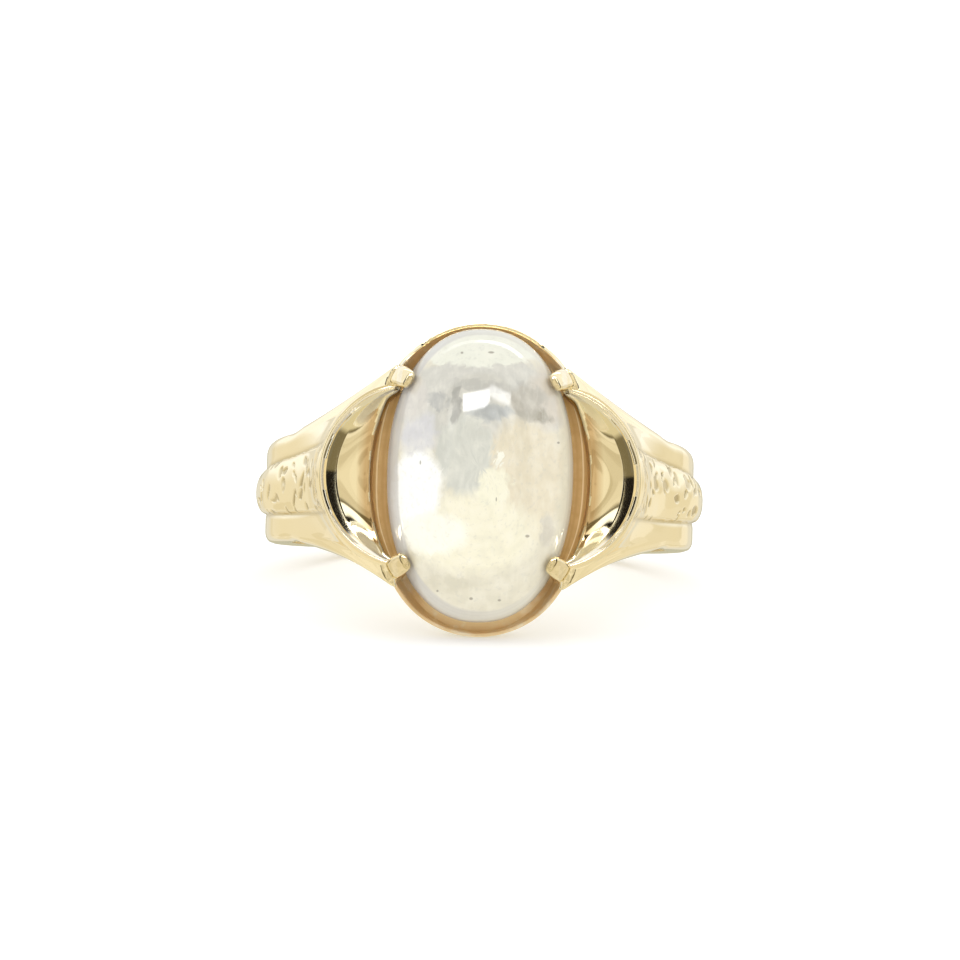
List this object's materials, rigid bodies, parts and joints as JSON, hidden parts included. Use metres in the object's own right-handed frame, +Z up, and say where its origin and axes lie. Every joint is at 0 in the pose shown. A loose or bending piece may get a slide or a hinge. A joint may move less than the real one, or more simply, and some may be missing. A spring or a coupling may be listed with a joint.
{
  "type": "moonstone ring",
  "caption": "Yellow gold ring with an oval moonstone cabochon held by claws, crescent scoops beside the stone and flared shoulders with a raised textured band.",
  "frame": {"origin": "middle of the finger hole, on its axis", "axes": "+X across the finger, -Y out towards the stone, +Z up from the surface that the ring lies on; the ring lies on its side, so its finger hole's axis leans back 15.6 degrees from +Z"},
  "size_m": [0.0206, 0.0242, 0.0134],
  "materials": {
    "gold": "polished 14 carat yellow gold, textured on the raised band",
    "moonstone": "polished, milky and translucent"
  },
  "bodies": {
    "root": {"ring_mount": "gold", "moonstone": "moonstone"}
  },
  "joints": []
}
